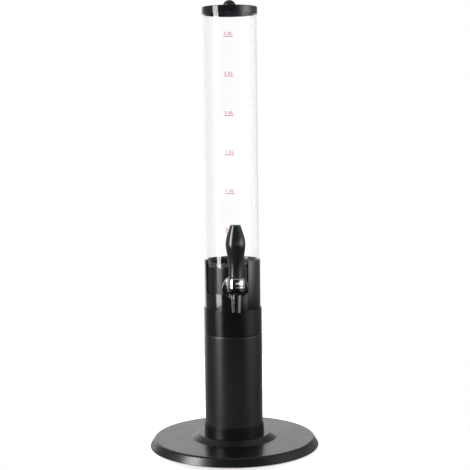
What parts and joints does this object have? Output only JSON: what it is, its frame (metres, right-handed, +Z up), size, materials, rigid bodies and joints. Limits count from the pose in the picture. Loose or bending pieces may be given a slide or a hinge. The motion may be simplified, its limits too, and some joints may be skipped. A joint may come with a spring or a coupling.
{
  "type": "beer tower dispenser",
  "caption": "Table-top beer tower: clear drink tube in a black cup with a chromed lever tap, standing in the cut-out collar of a weighted round-based column, under a lift-off lid.",
  "frame": {"origin": "centre of the stand's underside, on the surface that the rubber feet stand on", "axes": "+Z up along the tower's axis; the tap faces -Y; +X is to the right of someone who faces the tap"},
  "size_m": [0.3176, 0.3176, 0.829],
  "materials": {
    "black_abs": "satin",
    "black_gloss": "gloss",
    "clear_acrylic": "polished",
    "chrome": "polished",
    "lever_steel": "satin",
    "screw_steel": "satin",
    "ballast_steel": "matte",
    "brass": "satin",
    "rubber": "matte",
    "acetal": "satin"
  },
  "bodies": {
    "stand": {"base_shell": "black_abs", "ballast_plate": "ballast_steel", "bottom_cover": "black_abs", "cover_screws": "screw_steel", "foot_1": "rubber", "foot_2": "rubber", "foot_3": "rubber", "foot_4": "rubber", "foot_5": "rubber", "foot_6": "rubber", "column": "black_abs", "column_screws": "screw_steel", "sleeve": "black_abs", "collar": "black_abs"},
    "slip_ring": {"slip_ring": "acetal"},
    "container": {"tube_cup": "black_abs", "cup_floor": "black_abs", "cup_seal": "rubber", "clear_tube": "clear_acrylic", "tap_outer_gasket": "rubber", "tap_flange": "chrome", "tap_body": "chrome", "tap_inner_gasket": "rubber", "tap_nut": "black_abs", "lever_bush": "acetal", "tap_bonnet": "chrome"},
    "lid": {"lid_cap": "black_gloss", "lid_gasket": "rubber", "lid_knob": "black_gloss", "lid_screw": "lever_steel"},
    "handle": {"tap_lever": "lever_steel", "handle_insert": "brass", "tap_handle": "black_gloss"},
    "valve": {"plunger": "acetal", "plunger_washer": "rubber"}
  },
  "joints": [
    {"name": "container_turn", "type": "hinge", "parent": "stand", "child": "slip_ring", "pos_m": [0, 0, 0.242], "axis": [0, 0, 1], "range_deg": [-54, 11]},
    {"name": "container_lift", "type": "slide", "parent": "slip_ring", "child": "container", "axis": [0, 0, 1], "range_m": [0, 0.125]},
    {"name": "lid_lift", "type": "slide", "parent": "container", "child": "lid", "axis": [0, 0, 1], "range_m": [0, 0.05]},
    {"name": "handle_tilt", "type": "hinge", "parent": "container", "child": "handle", "pos_m": [0, -0.08, 0.3135], "axis": [1, 0, 0], "range_deg": [0, 30]},
    {"name": "valve_slide", "type": "slide", "parent": "container", "child": "valve", "axis": [0, 1, 0], "range_m": [0, 0.0032]}
  ],
  "couplings": [
    {"joint": "valve_slide", "follows": "handle_tilt", "m_per_rad": 0.006016}
  ]
}
